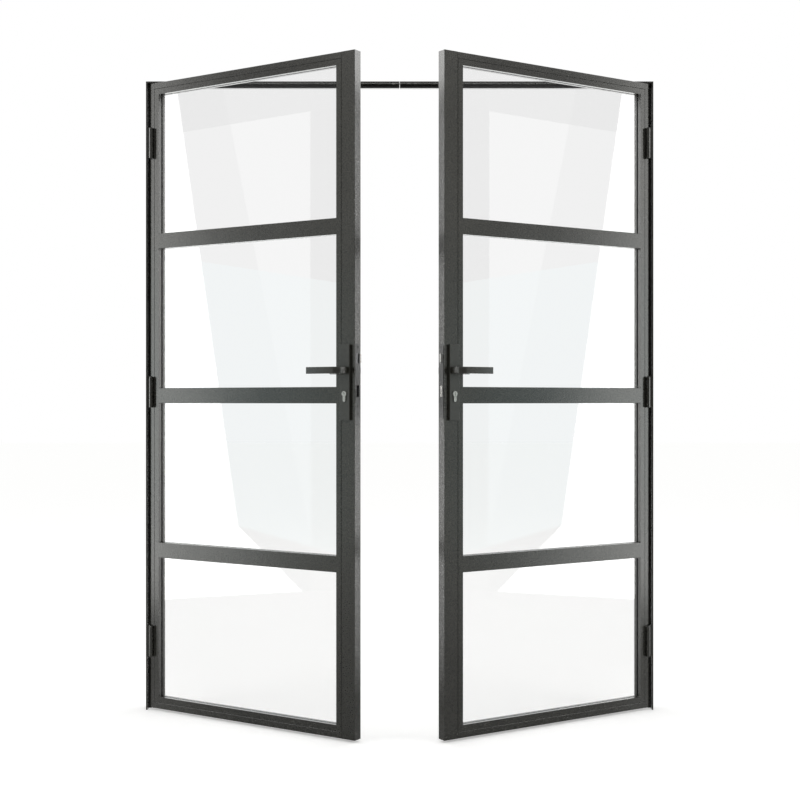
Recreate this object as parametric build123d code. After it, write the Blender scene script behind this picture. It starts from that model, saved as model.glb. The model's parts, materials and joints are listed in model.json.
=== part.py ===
from build123d import *
import math
import os

# A pair of glazed French doors in a narrow frame, in millimetres.
# X runs to the right, Y away from the viewer and Z up. Y = 0 is the front plane of the frame
# and Z = 0 the finished floor, with the origin midway between the jambs.
# Each leaf is built closed, as the left one, then swung to its rest angle. The right one is its mirror.

# Leaves
LEAF_WIDTH = 851.0
LEAF_HEIGHT = 2115.0
LEAF_DEPTH = 32.0
FLOOR_GAP = 8.0
MEETING_GAP = 4.0
REST_ANGLE = 33.5

# Frame section
FRAME_PLATE = 5.0
FRAME_DEPTH = 52.0
SIDE_CLEARANCE = 2.0
TOP_CLEARANCE = 2.5
STOP_HEIGHT = 10.0
STOP_DEPTH = 16.0
STOP_WALL = 2.0
HEAD_JOINT_GAP = 1.3

# Rebate seal
SEAL_SLOT = 3.0
SEAL_LIP_WIDTH = 7.0
SEAL_LEAF_GAP = 2.1
SEAL_LIP_BEVEL = 1.3
SEAL_ROOT_HEAD = 5.0
SEAL_ROOT_HEAD_DEPTH = 1.6

# Splice let into the top of the head
SPLICE_LENGTH = 120.0
SPLICE_WIDTH = 22.0
SPLICE_THICKNESS = 2.5
SPLICE_BACK_INSET = 3.0

# Fixing holes through the jamb plates into the wall
FIXING_RADIUS = 3.25
FIXING_SPANS = (1400.0, 500.0)

# Leaf profiles
PROFILE_WIDTH = 20.0
LOCK_PROFILE_WIDTH = 50.5
PROFILE_WALL = 2.0
LOCK_PROFILE_WALL = 3.0
PROFILE_EDGE = 0.8
LEG_WIDTH = 19.5
LEG_DEPTH = 13.0

# Glazing
GLASS_THICKNESS = 4.0
GLASS_EDGE_CLEARANCE = 4.0
TAPE_THICKNESS = 1.0
TAPE_WIDTH = 7.0
TAPE_INSET = 1.0
BEAD_WALL = 1.5
SHADOW_GROOVE_WIDTH = 1.0
SHADOW_GROOVE_DEPTH = 4.0
BAR_HEIGHT = 51.0
BAR_COUNT = 3
BAR_WALL = 2.0

# Hinges
HINGE_AXIS_INBOARD = 12.0
BARREL_RADIUS = 7.0
BARREL_LEAF_GAP = 0.3
TOP_HINGE_DROP = 201.0
BOTTOM_HINGE_RISE = 228.0
HINGE_COUNT = 3
FLANGE_HEIGHT = 104.8
FLANGE_THICKNESS = 3.0
FLANGE_LIP_COVER = 2.0
FLANGE_REACH = 7.0
FLANGE_RELIEF = 0.4
REBATE_LEG_THICKNESS = 1.2
REBATE_LEG_DEPTH = 30.0
KNUCKLE_END_STEP = 3.4
KNUCKLE_GAP = 0.3
KNUCKLE_SPLIT_DROP = 1.0
KNUCKLE_EDGE = 1.2
KNUCKLE_FOOT = 8.0
PIN_RADIUS = 3.5
PIN_FIT = 0.05
PIN_DEPTH = 42.0
PIN_END_GAP = 1.2

# Handle set, measured from the free edge of the leaf and from the floor
BACKSET = 32.0
SPINDLE_HEIGHT = 1141.5
CYLINDER_CENTRES = 72.0
SPINDLE_SIZE = 8.0
SPINDLE_FIT = 0.05
HANDLE_PLATE_WIDTH = 37.0
HANDLE_PLATE_HEIGHT = 233.0
HANDLE_PLATE_RISE = 79.5
HANDLE_PLATE_DEPTH = 9.0
HANDLE_PLATE_WALL = 2.5
HANDLE_PLATE_EDGE = 0.9
HANDLE_PLATE_BOSS = 4.0

# Lever
LEVER_STAND_OFF = 60.0
BACK_LEVER_STAND_OFF = 43.0
LEVER_LENGTH = 111.0
LEVER_HEIGHT = 21.0
LEVER_ARM_THICKNESS = 12.0
LEVER_NECK_WIDTH = 25.0
LEVER_BEND_RADIUS = 22.0
LEVER_INNER_RADIUS = 8.0
LEVER_TIP_RADIUS = 2.5
LEVER_EDGE = 1.2
LEVER_PLATE_GAP = 0.3
LEVER_BOSS_RADIUS = 9.0
LEVER_BOSS_FIT = 0.08
LEVER_SOCKET_DEPTH = 20.0

# Profile cylinder
CYLINDER_HEAD_RADIUS = 8.5
CYLINDER_HEIGHT = 33.0
CYLINDER_WEB_WIDTH = 10.0
CYLINDER_PROJECTION = 3.0
CYLINDER_FIT = 0.3
PLUG_RADIUS = 6.5
PLUG_FIT = 0.05
KEYWAY_WIDTH = 1.6
KEYWAY_HEIGHT = 8.0
KEYWAY_DEPTH = 12.0

# Lock cases and the plates on the meeting edges
CASE_THICKNESS = 18.0
CASE_DEPTH = 45.0
CASE_TOP_INSET = 19.0
CASE_BOTTOM_INSET = 24.0
CASE_FIT = 0.3
EDGE_PLATE_WIDTH = 22.0
EDGE_PLATE_THICKNESS = 3.0
EDGE_PLATE_RISE = 1.0
EDGE_PLATE_CORNER = 4.0
FACEPLATE_RISE = 5.0
FACEPLATE_PROUD = 1.3
STRIKE_DROP = 13.0
STRIKE_PROUD = 0.3
STRIKE_CLEARANCE = 1.0

# Latch and deadbolt of the right leaf
LATCH_HEIGHT = 28.0
LATCH_WIDTH = 14.0
LATCH_RISE = 36.5
LATCH_LENGTH = 24.0
LATCH_PROJECTION = 4.0
LATCH_NOSE_RADIUS = 6.0
BOLT_HEIGHT = 34.0
BOLT_WIDTH = 11.0
BOLT_RISE = 8.0
BOLT_LENGTH = 21.0
BOLT_THROW = 13.0
BOLT_FIT = 0.3

# Shoot bolt of the left leaf, and its keep in the head
ROD_RADIUS = 5.0
ROD_FIT = 0.1
ROD_INSET = 19.0
ROD_TOP_DROP = 1.0
ROD_CASE_DEPTH = 25.0
KEEP_RADIUS = 8.0
KEEP_CLEARANCE = 0.6

# Places worked out from the sizes above
LEAF_TOP = FLOOR_GAP + LEAF_HEIGHT
HALF_WIDTH = MEETING_GAP / 2 + LEAF_WIDTH + SIDE_CLEARANCE + FRAME_PLATE
FRAME_HEIGHT = LEAF_TOP + TOP_CLEARANCE + FRAME_PLATE
LEAF_EDGE = -MEETING_GAP / 2 - LEAF_WIDTH
STOP_FRONT = FRAME_DEPTH - STOP_DEPTH
MIDDLE_DEPTH = LEAF_DEPTH / 2
HINGE_X = LEAF_EDGE + HINGE_AXIS_INBOARD
HINGE_Y = -BARREL_RADIUS - BARREL_LEAF_GAP
HINGE_AXIS = Axis((HINGE_X, HINGE_Y, 0), (0, 0, 1))
GLASS_FRONT = LEAF_DEPTH - LEG_DEPTH - TAPE_THICKNESS - GLASS_THICKNESS
GLASS_BACK = GLASS_FRONT + GLASS_THICKNESS
BEAD_DEPTH = GLASS_FRONT - TAPE_THICKNESS
SIGHT_HINGE = PROFILE_WIDTH + LEG_WIDTH
SIGHT_LOCK = LOCK_PROFILE_WIDTH + LEG_WIDTH
SIGHT_BOTTOM = FLOOR_GAP + PROFILE_WIDTH + LEG_WIDTH
SIGHT_TOP = LEAF_TOP - PROFILE_WIDTH - LEG_WIDTH
CYLINDER_AXIS = SPINDLE_HEIGHT - CYLINDER_CENTRES
HANDLE_PLATE_TOP = SPINDLE_HEIGHT + HANDLE_PLATE_RISE
HANDLE_PLATE_BOTTOM = HANDLE_PLATE_TOP - HANDLE_PLATE_HEIGHT
CASE_TOP = HANDLE_PLATE_TOP - CASE_TOP_INSET
CASE_BOTTOM = HANDLE_PLATE_BOTTOM + CASE_BOTTOM_INSET
EDGE_PLATE_TOP = HANDLE_PLATE_TOP + EDGE_PLATE_RISE
FACEPLATE_BOTTOM = HANDLE_PLATE_BOTTOM + FACEPLATE_RISE
STRIKE_BOTTOM = HANDLE_PLATE_BOTTOM - STRIKE_DROP
LATCH_AXIS = SPINDLE_HEIGHT + LATCH_RISE
BOLT_AXIS = CYLINDER_AXIS + BOLT_RISE

X, Z = (1, 0, 0), (0, 0, 1)
BACK_X, DOWN = (-1, 0, 0), (0, 0, -1)


def block(x, y, z):
    """A box between two limits on each axis."""
    size = Box(x[1] - x[0], y[1] - y[0], z[1] - z[0], align=(Align.MIN, Align.MIN, Align.MIN))
    return Pos(x[0], y[0], z[0]) * size


def rectangle(x, y):
    """A rectangle between two limits on each axis."""
    return Pos((x[0] + x[1]) / 2, (y[0] + y[1]) / 2) * Rectangle(x[1] - x[0], y[1] - y[0])


def run(section, start, inward, along, length):
    """Extrude a section whose x is the distance in from an edge and whose y is the depth from the front."""
    return extrude(Plane(origin=start, x_dir=inward, z_dir=along) * section, amount=length)


def tube(x, y, wall, start, inward, along, length):
    """A rectangular hollow profile with closed ends."""
    outline = rectangle(x, y)
    outer = run(chamfer(outline.vertices(), PROFILE_EDGE), start, inward, along, length)
    core = rectangle((x[0] + wall, x[1] - wall), (y[0] + wall, y[1] - wall))
    inner_start = tuple(p + wall * a for p, a in zip(start, along))
    return outer - run(core, inner_start, inward, along, length - 2 * wall)


def pin_along_y(radius, x, z, y):
    """A round bar from front to back."""
    return extrude(Plane(origin=(x, y[0], z), x_dir=X, z_dir=(0, 1, 0)) * Circle(radius), amount=y[1] - y[0])


def swung(shape):
    """Carry a shape of the closed left leaf to its place in the frame, at the rest angle."""
    return shape.moved(Location((LEAF_EDGE, 0, 0))).rotate(HINGE_AXIS, -REST_ANGLE)


def from_edge(distance):
    """The x of a point that lies this far in from the free edge of the leaf."""
    return LEAF_WIDTH - distance


# Frame


def frame_section():
    """Front lip, plate and hollow rear stop, with the slot that holds the seal."""
    inside = FRAME_PLATE + STOP_HEIGHT
    outline = Polyline(
        (0, 0),
        (FRAME_PLATE, 0),
        (FRAME_PLATE, STOP_FRONT),
        (inside, STOP_FRONT),
        (inside, FRAME_DEPTH),
        (0, FRAME_DEPTH),
        close=True,
    )
    cavity = rectangle((FRAME_PLATE, inside - STOP_WALL), (STOP_FRONT + STOP_WALL, FRAME_DEPTH - STOP_WALL))
    slot = rectangle(seal_limits(SEAL_SLOT), (STOP_FRONT, STOP_FRONT + STOP_WALL))
    return make_face(outline) - cavity - slot


def seal_limits(width):
    """Limits of something this wide, centred on the face of the stop."""
    middle = FRAME_PLATE + STOP_HEIGHT / 2
    return middle - width / 2, middle + width / 2


def seal_section():
    """Soft lip in front of the stop, on a root that widens again behind the slot."""
    lip = rectangle(seal_limits(SEAL_LIP_WIDTH), (LEAF_DEPTH + SEAL_LEAF_GAP, STOP_FRONT))
    lip = chamfer(lip.vertices().sort_by(Axis.Y)[:2], SEAL_LIP_BEVEL)
    root_back = STOP_FRONT + STOP_WALL
    root = rectangle(seal_limits(SEAL_SLOT), (STOP_FRONT, root_back))
    head = rectangle(seal_limits(SEAL_ROOT_HEAD), (root_back, root_back + SEAL_ROOT_HEAD_DEPTH))
    return lip + root + head


def corner_wedge(above):
    """The space on one side of the mitre plane at the upper left corner of the frame."""
    reach = 2 * (FRAME_PLATE + STOP_HEIGHT)
    x, z = -HALF_WIDTH, FRAME_HEIGHT
    third = (x + reach, z) if above else (x, z - reach)
    outline = Polyline((x, z), third, (x + reach, z - reach), close=True)
    back = Plane(origin=(0, FRAME_DEPTH, 0), x_dir=X, z_dir=(0, -1, 0))
    return extrude(back * make_face(outline), amount=FRAME_DEPTH)


def jamb_run(section):
    """The section along the left jamb, mitred at the top."""
    whole = run(section, (-HALF_WIDTH, 0, 0), X, Z, FRAME_HEIGHT)
    return whole - corner_wedge(above=True)


def head_run(section):
    """The section along the left half of the head, mitred at the corner."""
    length = HALF_WIDTH - HEAD_JOINT_GAP / 2
    whole = run(section, (-HALF_WIDTH, 0, FRAME_HEIGHT), DOWN, X, length)
    return whole - corner_wedge(above=False)


def fixing_heights():
    """Heights of the jamb's fixing holes, in pairs about the middle."""
    return [FRAME_HEIGHT / 2 + sign * span / 2 for span in FIXING_SPANS for sign in (-1, 1)]


def jamb():
    """Left jamb with fixing holes behind the closed leaf."""
    shape = jamb_run(frame_section())
    for height in fixing_heights():
        outer = Plane(origin=(-HALF_WIDTH, MIDDLE_DEPTH, height), x_dir=(0, 1, 0), z_dir=X)
        shape -= extrude(outer * Circle(FIXING_RADIUS), amount=FRAME_PLATE)
    return shape


def splice():
    """Flat bar across the joint of the head."""
    half = SPLICE_LENGTH / 2
    back = FRAME_DEPTH - SPLICE_BACK_INSET
    z = (FRAME_HEIGHT - SPLICE_THICKNESS, FRAME_HEIGHT)
    return block((-half, half), (back - SPLICE_WIDTH, back), z)


def keep_place():
    """Plane on the underside of the head, over the shoot bolt of the closed left leaf."""
    x = LEAF_EDGE + from_edge(ROD_INSET)
    return Plane(origin=(x, MIDDLE_DEPTH, FRAME_HEIGHT - FRAME_PLATE))


def keep_bush():
    """Bush in the head that takes the shoot bolt."""
    ring = Circle(KEEP_RADIUS) - Circle(ROD_RADIUS + KEEP_CLEARANCE)
    return extrude(keep_place() * ring, amount=FRAME_PLATE)


# Hinges


def hinge_heights():
    """Middle heights of the hinges, evenly spaced between the lowest and the highest."""
    low = FLOOR_GAP + BOTTOM_HINGE_RISE
    high = LEAF_TOP - TOP_HINGE_DROP
    return [low + (high - low) * n / (HINGE_COUNT - 1) for n in range(HINGE_COUNT)]


def knuckle_limits(middle):
    """Bottom and top of the lower knuckle, then of the upper one."""
    bottom = middle - FLANGE_HEIGHT / 2
    split = middle - KNUCKLE_SPLIT_DROP
    top = middle + FLANGE_HEIGHT / 2 - KNUCKLE_END_STEP
    return (bottom, split - KNUCKLE_GAP / 2), (split + KNUCKLE_GAP / 2, top)


def upright(section, z):
    """Extrude a section in plan between two heights."""
    return extrude(Pos(0, 0, z[0]) * section, amount=z[1] - z[0])


def hinge_plate(middle):
    """Frame half: an angle on the lip and in the rebate, a web and the lower knuckle."""
    lip = -HALF_WIDTH + FRAME_PLATE
    web_end = lip + FLANGE_REACH
    leg = lip + REBATE_LEG_THICKNESS
    angle = Polyline(
        (lip - FLANGE_LIP_COVER, -FLANGE_THICKNESS),
        (lip - FLANGE_LIP_COVER, 0),
        (lip, 0),
        (lip, REBATE_LEG_DEPTH),
        (leg, REBATE_LEG_DEPTH),
        (leg, -FLANGE_RELIEF),
        (web_end, -FLANGE_RELIEF),
        (web_end, -FLANGE_THICKNESS),
        close=True,
    )
    half = FLANGE_HEIGHT / 2
    lower = knuckle_limits(middle)[0]
    shape = upright(make_face(angle), (middle - half, middle + half))
    web = rectangle((web_end - FLANGE_THICKNESS, HINGE_X), (-FLANGE_THICKNESS, -FLANGE_RELIEF))
    shape += upright(web + Pos(HINGE_X, HINGE_Y) * Circle(BARREL_RADIUS), lower)
    bore = upright(Pos(HINGE_X, HINGE_Y) * Circle(PIN_RADIUS), (lower[1] - PIN_DEPTH, lower[1]))
    return shape - bore


def hinge_pin(middle):
    """Pin pressed into the lower knuckle, on which the upper one turns."""
    lower, upper = knuckle_limits(middle)
    return upright(Pos(HINGE_X, HINGE_Y) * Circle(PIN_RADIUS), (lower[1] - PIN_DEPTH, upper[0] + PIN_DEPTH))


def hinge_barrel(middle):
    """Leaf half: the upper knuckle, bored from below, on a foot against the leaf."""
    x, y = HINGE_AXIS_INBOARD, HINGE_Y
    z = knuckle_limits(middle)[1]
    barrel = upright(Pos(x, y) * Circle(BARREL_RADIUS), z)
    barrel = chamfer(barrel.edges().group_by(Axis.Z)[-1], KNUCKLE_EDGE)
    foot = rectangle((x - KNUCKLE_FOOT / 2, x + KNUCKLE_FOOT / 2), (y, 0))
    barrel += upright(foot, (z[0], z[1] - KNUCKLE_EDGE))
    bore = upright(Pos(x, y) * Circle(PIN_RADIUS + PIN_FIT), (z[0], z[0] + PIN_DEPTH + PIN_END_GAP))
    return barrel - bore


# Leaf profiles


def stile(width, wall, start, inward, along):
    """Full-height hollow stile with a hollow rear leg that stops against the rails."""
    chamber = tube((0, width), (0, LEAF_DEPTH), wall, start, inward, along, LEAF_HEIGHT)
    leg_start = tuple(p + PROFILE_WIDTH * a for p, a in zip(start, along))
    leg_length = LEAF_HEIGHT - 2 * PROFILE_WIDTH
    return chamber + leg(width, wall, leg_start, inward, along, leg_length)


def leg(width, wall, start, inward, along, length):
    """Rear leg of a profile, sharing one wall with its chamber."""
    x = (width - wall, width + LEG_WIDTH)
    return tube(x, (LEAF_DEPTH - LEG_DEPTH, LEAF_DEPTH), wall, start, inward, along, length)


def rail(height, inward, along):
    """Hollow rail between the stiles, with a rear leg between theirs."""
    ends = (PROFILE_WIDTH, from_edge(LOCK_PROFILE_WIDTH))
    leg_ends = (SIGHT_HINGE, from_edge(SIGHT_LOCK))
    first = 0 if along == X else 1
    shape = tube(
        (0, PROFILE_WIDTH), (0, LEAF_DEPTH), PROFILE_WALL,
        (ends[first], 0, height), inward, along, ends[1] - ends[0],
    )
    return shape + leg(
        PROFILE_WIDTH, PROFILE_WALL, (leg_ends[first], 0, height), inward, along, leg_ends[1] - leg_ends[0]
    )


def hinge_stile():
    """Narrow stile that carries the hinges."""
    return stile(PROFILE_WIDTH, PROFILE_WALL, (0, 0, FLOOR_GAP), X, Z)


def lock_stile(plate_bottom, proud, rod):
    """Wide stile at the meeting edge, cut out for the lock, its edge plate and the handles."""
    shape = stile(LOCK_PROFILE_WIDTH, LOCK_PROFILE_WALL, (LEAF_WIDTH, 0, LEAF_TOP), BACK_X, DOWN)
    through = (0, LEAF_DEPTH)
    shape -= edge_plate_blank(plate_bottom, proud, CASE_FIT)
    shape -= case_blank(EDGE_PLATE_THICKNESS - proud, CASE_FIT)
    shape = shape - spindle_window(through) - cylinder_window(through)
    if rod:
        guide = Circle(ROD_RADIUS + ROD_FIT)
        shape -= upright(
            Pos(from_edge(ROD_INSET), MIDDLE_DEPTH) * guide, (LEAF_TOP - LOCK_PROFILE_WALL, LEAF_TOP)
        )
    return shape


# Glazing


def ring(margin, depth):
    """A flat frame or sheet whose edges lie at a margin from each chamber, as four limits."""
    x = (PROFILE_WIDTH + margin, from_edge(LOCK_PROFILE_WIDTH + margin))
    z = (FLOOR_GAP + PROFILE_WIDTH + margin, LEAF_TOP - PROFILE_WIDTH - margin)
    return block(x, depth, z)


def glass():
    """One pane behind all the bars."""
    return ring(GLASS_EDGE_CLEARANCE, (GLASS_FRONT, GLASS_BACK))


def tape(front):
    """Glazing tape round the pane, set back a little from the sight line."""
    depth = (front, front + TAPE_THICKNESS)
    inner = LEG_WIDTH - TAPE_INSET
    return ring(inner - TAPE_WIDTH, depth) - ring(inner, depth)


def bead_section(start, wall=0.0):
    """Bead that clips against a chamber, with a shadow groove along its front edge."""
    groove = (start + wall, start + SHADOW_GROOVE_WIDTH + wall)
    outline = Polyline(
        (groove[0], BEAD_DEPTH - wall),
        (groove[0], SHADOW_GROOVE_DEPTH + wall),
        (groove[1], SHADOW_GROOVE_DEPTH + wall),
        (groove[1], wall),
        (start + LEG_WIDTH - wall, wall),
        (start + LEG_WIDTH - wall, BEAD_DEPTH - wall),
        close=True,
    )
    return make_face(outline)


def bead(profile_width, start, inward, along, length):
    """One hollow bead with closed ends."""
    inner_start = tuple(p + BEAD_WALL * a for p, a in zip(start, along))
    shape = run(bead_section(profile_width), start, inward, along, length)
    core = bead_section(profile_width, BEAD_WALL)
    return shape - run(core, inner_start, inward, along, length - 2 * BEAD_WALL)


def beads():
    """Four beads: full-height ones on the stiles, short ones between them, grooved all round."""
    inner_bottom, inner_top = FLOOR_GAP + PROFILE_WIDTH, LEAF_TOP - PROFILE_WIDTH
    tall = inner_top - inner_bottom
    short = from_edge(SIGHT_LOCK) - SIGHT_HINGE
    pieces = [
        bead(PROFILE_WIDTH, (0, 0, inner_bottom), X, Z, tall),
        bead(LOCK_PROFILE_WIDTH, (LEAF_WIDTH, 0, inner_top), BACK_X, DOWN, tall),
        bead(PROFILE_WIDTH, (SIGHT_HINGE, 0, LEAF_TOP), DOWN, X, short),
        bead(PROFILE_WIDTH, (from_edge(SIGHT_LOCK), 0, FLOOR_GAP), Z, BACK_X, short),
    ]
    depth = (0, SHADOW_GROOVE_DEPTH)
    groove = ring(0, depth) - ring(SHADOW_GROOVE_WIDTH, depth)
    return [piece - groove for piece in pieces]


def bar_heights():
    """Lower edges of the bars, which share the sight height into equal openings."""
    opening = (SIGHT_TOP - SIGHT_BOTTOM - BAR_COUNT * BAR_HEIGHT) / (BAR_COUNT + 1)
    return [SIGHT_BOTTOM + opening + n * (opening + BAR_HEIGHT) for n in range(BAR_COUNT)]


def bars(depth):
    """Hollow bars laid on one face of the pane."""
    length = from_edge(SIGHT_LOCK) - SIGHT_HINGE
    return [
        tube((0, BAR_HEIGHT), depth, BAR_WALL, (from_edge(SIGHT_LOCK), 0, low), Z, BACK_X, length)
        for low in bar_heights()
    ]


# Handle set


def cylinder_outline(margin):
    """Round head over a narrower web, drawn with the plug's axis at the origin."""
    head = Circle(CYLINDER_HEAD_RADIUS + margin)
    half = CYLINDER_WEB_WIDTH / 2 + margin
    drop = CYLINDER_HEIGHT - CYLINDER_HEAD_RADIUS
    web = rectangle((-half, half), (-drop + half - margin, 0))
    return head + web + Pos(0, -drop + half - margin) * Circle(half)


def along_y(section, x, z, y):
    """Extrude a section drawn as seen from the front, between two depths."""
    back = Plane(origin=(x, y[1], z), x_dir=X, z_dir=(0, -1, 0))
    return extrude(back * section, amount=y[1] - y[0])


def cylinder_blank(depth, margin):
    """The profile cylinder's outline between two depths."""
    return along_y(cylinder_outline(margin), from_edge(BACKSET), CYLINDER_AXIS, depth)


def cylinder_window(depth):
    """Upright opening that the profile cylinder passes."""
    x = from_edge(BACKSET)
    half = CYLINDER_HEAD_RADIUS + CYLINDER_FIT
    top = CYLINDER_AXIS + half
    return block((x - half, x + half), depth, (top - CYLINDER_HEIGHT - 2 * CYLINDER_FIT, top))


def spindle_window(depth):
    """Square opening in which the spindle turns."""
    x, half = from_edge(BACKSET), SPINDLE_SIZE / math.sqrt(2) + CASE_FIT
    return block((x - half, x + half), depth, (SPINDLE_HEIGHT - half, SPINDLE_HEIGHT + half))


def cylinder_depths():
    """Front and back ends of the cylinder, a little proud of both handle plates."""
    reach = HANDLE_PLATE_DEPTH + CYLINDER_PROJECTION
    return -reach, LEAF_DEPTH + reach


def cylinder():
    """Profile cylinder, bored for the plug."""
    depths = cylinder_depths()
    bore = pin_along_y(PLUG_RADIUS + PLUG_FIT, from_edge(BACKSET), CYLINDER_AXIS, depths)
    return cylinder_blank(depths, 0) - bore


def plug():
    """Plug with a keyway at both ends."""
    front, back = cylinder_depths()
    x = from_edge(BACKSET)
    shape = pin_along_y(PLUG_RADIUS, x, CYLINDER_AXIS, (front, back))
    keyway = rectangle((-KEYWAY_WIDTH / 2, KEYWAY_WIDTH / 2), (-KEYWAY_HEIGHT / 2, KEYWAY_HEIGHT / 2))
    for depth in ((front, front + KEYWAY_DEPTH), (back - KEYWAY_DEPTH, back)):
        shape -= along_y(keyway, x, CYLINDER_AXIS, depth)
    return shape


def to_back(shape):
    """Mirror something on the front of the leaf to its back."""
    return mirror(shape, about=Plane(origin=(0, MIDDLE_DEPTH, 0), x_dir=X, z_dir=(0, 1, 0)))


def handle_plate():
    """Long front plate, hollow at both ends and solid round the spindle and the cylinder."""
    half = HANDLE_PLATE_WIDTH / 2
    middle = from_edge(BACKSET)
    z = (HANDLE_PLATE_BOTTOM, HANDLE_PLATE_TOP)
    depth = (-HANDLE_PLATE_DEPTH, 0)
    shape = block((middle - half, middle + half), depth, z)
    shape = chamfer(shape.edges().group_by(Axis.Y)[0], HANDLE_PLATE_EDGE)
    wall = HANDLE_PLATE_WALL
    boss_top = SPINDLE_HEIGHT + LEVER_BOSS_RADIUS + HANDLE_PLATE_BOSS
    boss_bottom = CYLINDER_AXIS - CYLINDER_HEIGHT + CYLINDER_HEAD_RADIUS - HANDLE_PLATE_BOSS
    for hollow in ((z[0] + wall, boss_bottom), (boss_top, z[1] - wall)):
        shape -= block((middle - half + wall, middle + half - wall), (depth[0] + wall, 0), hollow)
    shape -= pin_along_y(LEVER_BOSS_RADIUS, middle, SPINDLE_HEIGHT, depth)
    return shape - cylinder_blank(depth, CYLINDER_FIT)


def lever(stand_off):
    """Lever on the front: a bar bent at the neck, with a round boss in the plate and a square socket."""
    middle = from_edge(BACKSET)
    neck = (middle + LEVER_NECK_WIDTH / 2, middle - LEVER_NECK_WIDTH / 2)
    foot = -HANDLE_PLATE_DEPTH - LEVER_PLATE_GAP
    front, inner = -stand_off, LEVER_ARM_THICKNESS - stand_off
    tip = middle - LEVER_LENGTH
    outline = Polyline(
        (neck[0], foot), (neck[0], front), (tip, front), (tip, inner), (neck[1], inner), (neck[1], foot),
        close=True,
    )
    face = make_face(outline)
    radii = {
        (neck[0], front): LEVER_BEND_RADIUS,
        (neck[1], inner): LEVER_INNER_RADIUS,
        (tip, front): LEVER_TIP_RADIUS,
        (tip, inner): LEVER_TIP_RADIUS,
    }
    for corner, radius in radii.items():
        nearest = min(face.vertices(), key=lambda v: math.dist((v.X, v.Y), corner))
        face = fillet(nearest, radius)
    half = LEVER_HEIGHT / 2
    shape = upright(face, (SPINDLE_HEIGHT - half, SPINDLE_HEIGHT + half))
    rims = shape.edges().group_by(Axis.Z)
    shape = chamfer(rims[0] + rims[-1], LEVER_EDGE)
    boss_radius = LEVER_BOSS_RADIUS - LEVER_BOSS_FIT
    shape += pin_along_y(boss_radius, middle, SPINDLE_HEIGHT, (foot, -LEVER_PLATE_GAP))
    socket = SPINDLE_SIZE / 2 + SPINDLE_FIT
    return shape - block(
        (middle - socket, middle + socket),
        (foot - LEVER_SOCKET_DEPTH, -LEVER_PLATE_GAP),
        (SPINDLE_HEIGHT - socket, SPINDLE_HEIGHT + socket),
    )


def spindle():
    """Square bar through both levers."""
    middle, half = from_edge(BACKSET), SPINDLE_SIZE / 2
    reach = HANDLE_PLATE_DEPTH + LEVER_PLATE_GAP + LEVER_SOCKET_DEPTH - SPINDLE_FIT
    z = (SPINDLE_HEIGHT - half, SPINDLE_HEIGHT + half)
    return block((middle - half, middle + half), (-reach, LEAF_DEPTH + reach), z)


# Meeting edge


def along_edge(section, height, near, far):
    """Extrude a section drawn on the meeting edge, between two distances from that edge."""
    plane = Plane(origin=(from_edge(near), MIDDLE_DEPTH, height), x_dir=(0, 1, 0), z_dir=BACK_X)
    return extrude(plane * section, amount=far - near)


def edge_plate_blank(bottom, proud, margin=0.0):
    """The edge plate's outline with rounded ends, standing proud of the stile."""
    outline = Rectangle(EDGE_PLATE_WIDTH + 2 * margin, EDGE_PLATE_TOP - bottom + 2 * margin)
    outline = fillet(outline.vertices(), EDGE_PLATE_CORNER)
    return along_edge(outline, (EDGE_PLATE_TOP + bottom) / 2, -proud, EDGE_PLATE_THICKNESS - proud)


def edge_plate(bottom, proud, latch_margin, bolt_margin):
    """Faceplate or strike plate with its two windows."""
    shape = edge_plate_blank(bottom, proud)
    windows = (
        (LATCH_AXIS, LATCH_WIDTH, LATCH_HEIGHT, latch_margin),
        (BOLT_AXIS, BOLT_WIDTH, BOLT_HEIGHT, bolt_margin),
    )
    for axis, width, tall, margin in windows:
        window = Rectangle(width + 2 * margin, tall + 2 * margin)
        shape -= along_edge(window, axis, -proud, EDGE_PLATE_THICKNESS - proud)
    return shape


def case_blank(front, margin=0.0):
    """The lock case's outline, from behind the edge plate inwards."""
    outline = Rectangle(CASE_THICKNESS + 2 * margin, CASE_TOP - CASE_BOTTOM + 2 * margin)
    return along_edge(outline, (CASE_TOP + CASE_BOTTOM) / 2, front, CASE_DEPTH)


def lock_case(front):
    """Case with the openings for the spindle and the cylinder."""
    sides = (0, LEAF_DEPTH)
    return case_blank(front) - spindle_window(sides) - cylinder_window(sides)


def right_lock_case():
    """Mortise lock case with channels for the latch and the deadbolt."""
    front = EDGE_PLATE_THICKNESS - FACEPLATE_PROUD
    shape = lock_case(front)
    latch = Rectangle(LATCH_WIDTH + 2 * BOLT_FIT, LATCH_HEIGHT + 2 * BOLT_FIT)
    travel_end = LATCH_LENGTH - FACEPLATE_PROUD + BOLT_FIT
    shape -= along_edge(latch, LATCH_AXIS, front, travel_end)
    bolt = Rectangle(BOLT_WIDTH + 2 * BOLT_FIT, BOLT_HEIGHT + 2 * BOLT_FIT)
    return shape - along_edge(bolt, BOLT_AXIS, front, BOLT_LENGTH - FACEPLATE_PROUD + BOLT_FIT)


def left_lock_case():
    """Shoot bolt case with a pocket for the other leaf's deadbolt."""
    front = EDGE_PLATE_THICKNESS - STRIKE_PROUD
    shape = lock_case(front)
    reach = BOLT_THROW + FACEPLATE_PROUD - MEETING_GAP + STRIKE_CLEARANCE
    pocket = Rectangle(BOLT_WIDTH + 2 * STRIKE_CLEARANCE, BOLT_HEIGHT + 2 * STRIKE_CLEARANCE)
    shape -= along_edge(pocket, BOLT_AXIS, front, reach)
    bore = Pos(from_edge(ROD_INSET), MIDDLE_DEPTH) * Circle(ROD_RADIUS + ROD_FIT)
    return shape - upright(bore, (CASE_TOP - ROD_CASE_DEPTH - ROD_FIT, CASE_TOP))


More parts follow.
